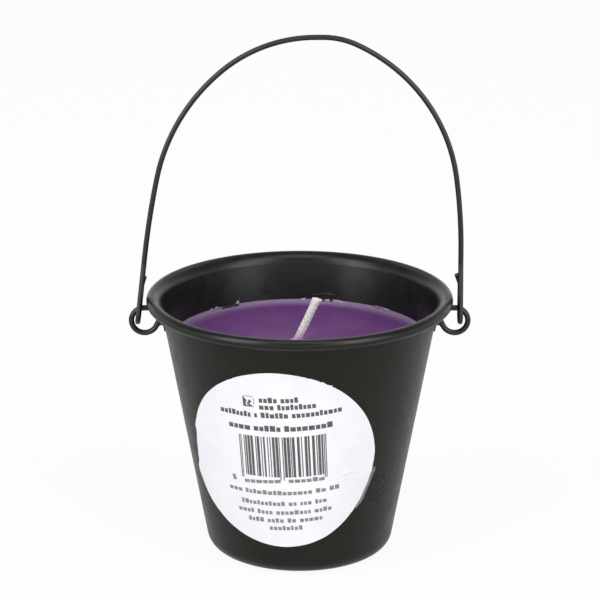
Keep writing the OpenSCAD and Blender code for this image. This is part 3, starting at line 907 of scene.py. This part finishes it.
# How it curls up: clearance over the paper, height, turn of the curl in radians, waviness and thickness
FOLD_CLEAR = 0.02
FOLD_RISE = 0.5
FOLD_CURL = 1.9
FOLD_WAVE = 0.05
FOLD_SEED = 5.1
FOLD_T = 0.05


def label_point(angle, out):
    """A place on the flat sheet, at a distance outside the label's edge."""
    r = label_edge(angle) + out
    return LABEL_X + r * math.cos(angle), LABEL_Y + r * math.sin(angle)


def film_stations():
    """Stations down the film: share of the way, and angle round the label."""
    for step in range(FILM_STEPS + 1):
        share = step / FILM_STEPS
        yield share, FILM_FROM + (FILM_TO - FILM_FROM) * share


def film_rows():
    """The flat patch, from under the label to its free outer edge."""
    rows = []
    for share, angle in film_stations():
        start = label_point(angle, -FILM_UNDER)
        end = [a + (b - a) * share for a, b in zip(*FILM_OUTER)]
        row = []
        for j in range(FILM_COLUMNS + 1):
            u = j / FILM_COLUMNS
            x = start[0] + (end[0] - start[0]) * u
            y = start[1] + (end[1] - start[1]) * u
            wave = 1 + noise.noise(Vector((x * FILM_WAVE_RATE, y * FILM_WAVE_RATE, FILM_SEED)))
            low = FILM_LOW + FILM_WAVE * wave * u
            row.append((x, y, low, low + FILM_T))
        rows.append(row)
    return rows


def fold_rows():
    """The folded edge, pointed at both ends, which stands off the wall towards its outer side."""
    rows = []
    for share, angle in film_stations():
        width = table_value(FOLD_WIDTHS, math.degrees(angle))
        gap = FOLD_GAP * max(0.0, 1 - FOLD_GAP_CLOSES * share)
        row = []
        for j in range(FOLD_COLUMNS + 1):
            u = j / FOLD_COLUMNS
            x, y = label_point(angle, gap + width * u - FOLD_TUCK)
            wave = FOLD_WAVE * noise.noise(Vector((x, y, FOLD_SEED)))
            low = LABEL_TOP + FOLD_CLEAR + FOLD_RISE * math.sin(u * FOLD_CURL) + wave
            row.append((x, y, low, low + FOLD_T))
        rows.append(row)
    return rows


film_mesh = ([], [])
add_slab(film_mesh, film_rows())
film_piece = new_piece("film_patch", *film_mesh, "root", "clear_film", film)
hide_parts("clear_tab")
fold_mesh = ([], [])
add_slab(fold_mesh, fold_rows())
# The fold's grey is a painted reflection
new_piece("film_fold", *fold_mesh, "root", "clear_film", film_fold_sheen)


# Flakes on the edge of the wax, and crumbs and specks on the wall above it, with a painted shadow line under
# a painted highlight

FLAKE_STEPS = 5
# What makes a flake's edges uneven: waves per degree, seeds of its edges, and share of its lift that varies
FLAKE_RATE = 1.7
FLAKE_SEED = 0.4
HIGH_EDGE_SEED = Vector((0, 0, 4))
LIFT_SEED = Vector((0, 3, 0))
LIFT_SHARE = 0.6


def add_flake(mesh, stations, lie):
    """A thin strip on the inside of the wall, over stations from left to right."""
    verts, faces = mesh
    lift_low, lift_high, thickness, ragged = lie
    rings = []
    for start, end in zip(stations, stations[1:]):
        for i in range(FLAKE_STEPS):
            u = i / FLAKE_STEPS
            rings.append([a + (b - a) * u for a, b in zip(start, end)])
    rings.append(stations[-1])
    tube = []
    for turn, low, high in rings:
        seed = Vector((turn * FLAKE_RATE, low, FLAKE_SEED))
        low += ragged * noise.noise(seed)
        high += ragged * noise.noise(seed + HIGH_EDGE_SEED)
        out = lift_high * (1 + LIFT_SHARE * noise.noise(seed + LIFT_SEED))
        a = math.radians(turn)
        tube.append([
            inside_wall(a, low, lift_low), inside_wall(a, high, out),
            inside_wall(a, high, out + thickness), inside_wall(a, low, lift_low + thickness),
        ])
    add_tube(verts, faces, tube)


# Stations of a flake: degrees from the back, lowest and highest z. How a flake lies: how far its lower and
# its upper edge stand off the wall, its thickness, and how ragged its edges are, in mm
PALE_LIE = (0.1, 0.3, 0.3, 0.06)
PALE_FLAKES = [
    [(0.3, 61.9, 62.1), (1.5, 61.85, 62.32), (2.7, 61.8, 62.48), (3.3, 61.85, 62.2)],
    [(9.2, 61.8, 62.2), (10.3, 61.75, 62.3)],
    [(11.6, 61.75, 62.25), (13.8, 61.75, 62.3)],
    [(15.5, 61.7, 62.3), (17.5, 61.65, 62.35), (19.5, 61.6, 62.15), (21.5, 61.55, 61.8)],
    [(37.3, 62.3, 62.38), (40.0, 62.2, 62.4), (43.0, 62.05, 62.35), (46.3, 62.0, 62.15)],
    [(-45.4, 62.05, 62.4), (-43.9, 62.1, 62.45)],
    [(-42.3, 62.25, 62.5), (-40.6, 62.3, 62.52)],
    [(-31.2, 62.0, 62.1), (-30.1, 62.05, 62.8), (-29.2, 62.3, 63.15)],
    [(61.6, 61.2, 61.55), (62.8, 61.2, 61.6), (64.0, 61.25, 61.5)],
]
# A long strip lifted a little off the wall above the wax, near-black as a painted shadow line, and a pale
# painted highlight along its upper edge
SHADOW_LINE_LIE = (0.0, 0.25, 0.1, 0.05)
SHADOW_LINE = [
    (6.0, 63.2, 63.45), (9.0, 63.3, 63.75), (11.0, 63.35, 63.85), (14.0, 63.3, 63.8), (16.4, 63.2, 63.6),
]
SHADOW_LINE_HIGHLIGHT_LIE = (0.2, 0.3, 0.12, 0.03)
SHADOW_LINE_HIGHLIGHT = [
    (5.6, 63.4, 63.5), (9.0, 63.75, 63.95), (11.0, 63.85, 64.05), (14.0, 63.8, 64.05), (16.2, 63.6, 63.9),
    (17.0, 63.35, 63.6),
]
# Near-black strips at the edge of the wax, most of them in gaps between the pale crumbs
DARK_LIE = (0.3, 0.35, 0.25, 0.08)
DARK_EDGE_STRIPS = [
    [
        (-38.6, 61.5, 61.9), (-37.5, 61.4, 62.25), (-33.5, 61.4, 62.2), (-30.0, 61.4, 62.3),
        (-29.4, 61.6, 62.2),
    ],
    [(10.3, 61.8, 62.15), (11.6, 61.8, 62.15)],
    [(13.9, 61.85, 62.1), (15.4, 61.85, 62.1)],
]
# Specks on the wall: degrees from the back, height and size in mm
SPECK_LIE = (0.0, 0.02, 0.06, 0.05)
WALL_SPECKS = [
    (-77.8, 68.8, 0.34), (-26.5, 71.1, 0.3), (21.5, 71.9, 0.4), (24.7, 68.3, 0.36), (27.3, 67.6, 0.42),
    (24.4, 67.4, 0.28), (-21.5, 72.2, 0.3), (-18.6, 72.4, 0.26), (26.2, 70.2, 0.2), (-35.0, 64.5, 0.22),
]
# A speck's outline in its own size: place across it, lowest and highest point
SPECK_SHAPE = [(-1, -0.1, 0.3), (0, -0.6, 0.7), (1, -0.3, 0.1)]

pale_mesh = ([], [])
for stations in PALE_FLAKES:
    add_flake(pale_mesh, stations, PALE_LIE)
new_piece("wax_crumbs", *pale_mesh, "root", "purple_wax", pale_crumb, smooth=False)
dark_mesh = ([], [])
# The painted shadow line
add_flake(dark_mesh, SHADOW_LINE, SHADOW_LINE_LIE)
for stations in DARK_EDGE_STRIPS:
    add_flake(dark_mesh, stations, DARK_LIE)
new_piece("shadow_line_and_dark_strips", *dark_mesh, "root", "black_paint", shadow_and_dark_strips)
speck_and_highlight_mesh = ([], [])
# The painted highlight along the shadow line's upper edge, with the specks
add_flake(speck_and_highlight_mesh, SHADOW_LINE_HIGHLIGHT, SHADOW_LINE_HIGHLIGHT_LIE)
for turn, z, size in WALL_SPECKS:
    wide = math.degrees(size / wall_r(z))
    stations = [(turn + across * wide, z + low * size, z + high * size)
                for across, low, high in SPECK_SHAPE]
    add_flake(speck_and_highlight_mesh, stations, SPECK_LIE)
new_piece("wall_specks_and_highlight", *speck_and_highlight_mesh, "root", "black_paint", dust_and_highlight)


# Studio

PHOTO_PX = 600
PRINCIPAL_X = 299.674
CAMERA_LENS = 192.0
CAMERA_SENSOR = 36.0
CAMERA_NEAR = 0.01
CAMERA_FAR = 50.0
CAMERA_ELEVATION = math.radians(17.626)
CAMERA_DISTANCE = 0.9078
CAMERA_TARGET_Z = 0.07346

camera_data = bpy.data.cameras.new("camera")
camera_data.lens = CAMERA_LENS
camera_data.sensor_width = CAMERA_SENSOR
camera_data.shift_x = (PHOTO_PX / 2 - PRINCIPAL_X) / PHOTO_PX
camera_data.clip_start = CAMERA_NEAR
camera_data.clip_end = CAMERA_FAR
camera = bpy.data.objects.new("camera", camera_data)
camera.location = (
    0.0,
    -CAMERA_DISTANCE * math.cos(CAMERA_ELEVATION),
    CAMERA_TARGET_Z + CAMERA_DISTANCE * math.sin(CAMERA_ELEVATION),
)
camera.rotation_euler = (math.pi / 2 - CAMERA_ELEVATION, 0.0, 0.0)
bpy.context.scene.collection.objects.link(camera)
bpy.context.scene.camera = camera


def seen_directly(tree):
    """1 for camera, glossy and transmission rays, else 0."""
    path = tree.nodes.new("ShaderNodeLightPath")
    total = path.outputs["Is Camera Ray"]
    for name in ("Is Glossy Ray", "Is Transmission Ray"):
        node = tree.nodes.new("ShaderNodeMath")
        node.operation = "MAXIMUM"
        tree.links.new(total, node.inputs[0])
        tree.links.new(path.outputs[name], node.inputs[1])
        total = node.outputs[0]
    return total


# The world is seen as white at the horizon and as a grey ceiling overhead: sines of its elevation
CEILING_START = 0.17
CEILING_FULL = 0.56
CEILING_TONE = 0.19
# The world's strength where it lights the object
WORLD_LIGHT = 0.36
WHITE = (1.0, 1.0, 1.0, 1.0)

world = bpy.data.worlds.new("studio")
world.use_nodes = True
bpy.context.scene.world = world
world_tree = world.node_tree
background = world_tree.nodes["Background"]
background.inputs["Color"].default_value = WHITE
direction = world_tree.nodes.new("ShaderNodeTexCoord").outputs["Generated"]
sine = add_coordinate(world_tree, direction)
ceiling = add_range(world_tree, sine, CEILING_START, CEILING_FULL, 1, CEILING_TONE)
world_level = world_tree.nodes.new("ShaderNodeMix")
world_level.inputs[2].default_value = WORLD_LIGHT
world_tree.links.new(seen_directly(world_tree), world_level.inputs["Factor"])
world_tree.links.new(ceiling, world_level.inputs[3])
world_tree.links.new(world_level.outputs[0], background.inputs["Strength"])

# The floor: how much of what the camera sees of it is even white, and how bright that is in a mirror
FLOOR_HALF = 4.0
FLOOR_Z = -0.0001
FLOOR_COLOUR = (0.9, 0.9, 0.9, 1.0)
FLOOR_GLOW = 0.93
FLOOR_MIRRORED = 0.6

floor_material, floor_tree, floor_shader = new_material("white_floor")
set_inputs(floor_shader, Base_Color=FLOOR_COLOUR, Roughness=0.9, Specular_IOR_Level=0.0)
glow = floor_tree.nodes.new("ShaderNodeEmission")
glow.inputs["Color"].default_value = WHITE
mirrored = floor_tree.nodes.new("ShaderNodeLightPath").outputs["Is Glossy Ray"]
floor_tree.links.new(add_range(floor_tree, mirrored, 0, 1, 1, FLOOR_MIRRORED), glow.inputs["Strength"])
blend = floor_tree.nodes.new("ShaderNodeMixShader")
floor_tree.links.new(add_range(floor_tree, seen_directly(floor_tree), 0, 1, 0, FLOOR_GLOW), blend.inputs[0])
floor_tree.links.new(floor_shader.outputs[0], blend.inputs[1])
floor_tree.links.new(glow.outputs[0], blend.inputs[2])
floor_tree.links.new(blend.outputs[0], floor_tree.nodes["Material Output"].inputs["Surface"])
floor_mesh = bpy.data.meshes.new("floor")
floor_mesh.from_pydata(
    [(x * FLOOR_HALF, y * FLOOR_HALF, FLOOR_Z) for x, y in ((-1, -1), (1, -1), (1, 1), (-1, 1))],
    [], [(0, 1, 2, 3)],
)
floor = bpy.data.objects.new("floor", floor_mesh)
floor.data.materials.append(floor_material)
bpy.context.scene.collection.objects.link(floor)

# Soft boxes: azimuth from the front in degrees (right positive), elevation, distance, width, height, power
SOFT_BOXES = [
    (46, 32, 1.2, 0.6, 1.25, 7.8),
    (-50, 32, 1.2, 0.6, 1.25, 8.3),
    (0, 74, 1.3, 0.6, 0.6, 2.2),
    (180, 46, 1.3, 1.3, 0.4, 1.4),
]
for index, (azimuth, elevation, distance, width, height, power) in enumerate(SOFT_BOXES):
    lamp_data = bpy.data.lights.new(f"soft_box_{index}", "AREA")
    lamp_data.shape = "RECTANGLE"
    lamp_data.size = width
    lamp_data.size_y = height
    lamp_data.energy = power
    lamp = bpy.data.objects.new(f"soft_box_{index}", lamp_data)
    flat = distance * math.cos(math.radians(elevation))
    lamp.location = (
        flat * math.sin(math.radians(azimuth)),
        -flat * math.cos(math.radians(azimuth)),
        CAMERA_TARGET_Z + distance * math.sin(math.radians(elevation)),
    )
    towards = Vector((0.0, 0.0, CAMERA_TARGET_Z)) - lamp.location
    lamp.rotation_euler = towards.to_track_quat("-Z", "Y").to_euler()
    bpy.context.scene.collection.objects.link(lamp)

bpy.context.scene.view_settings.view_transform = "Standard"
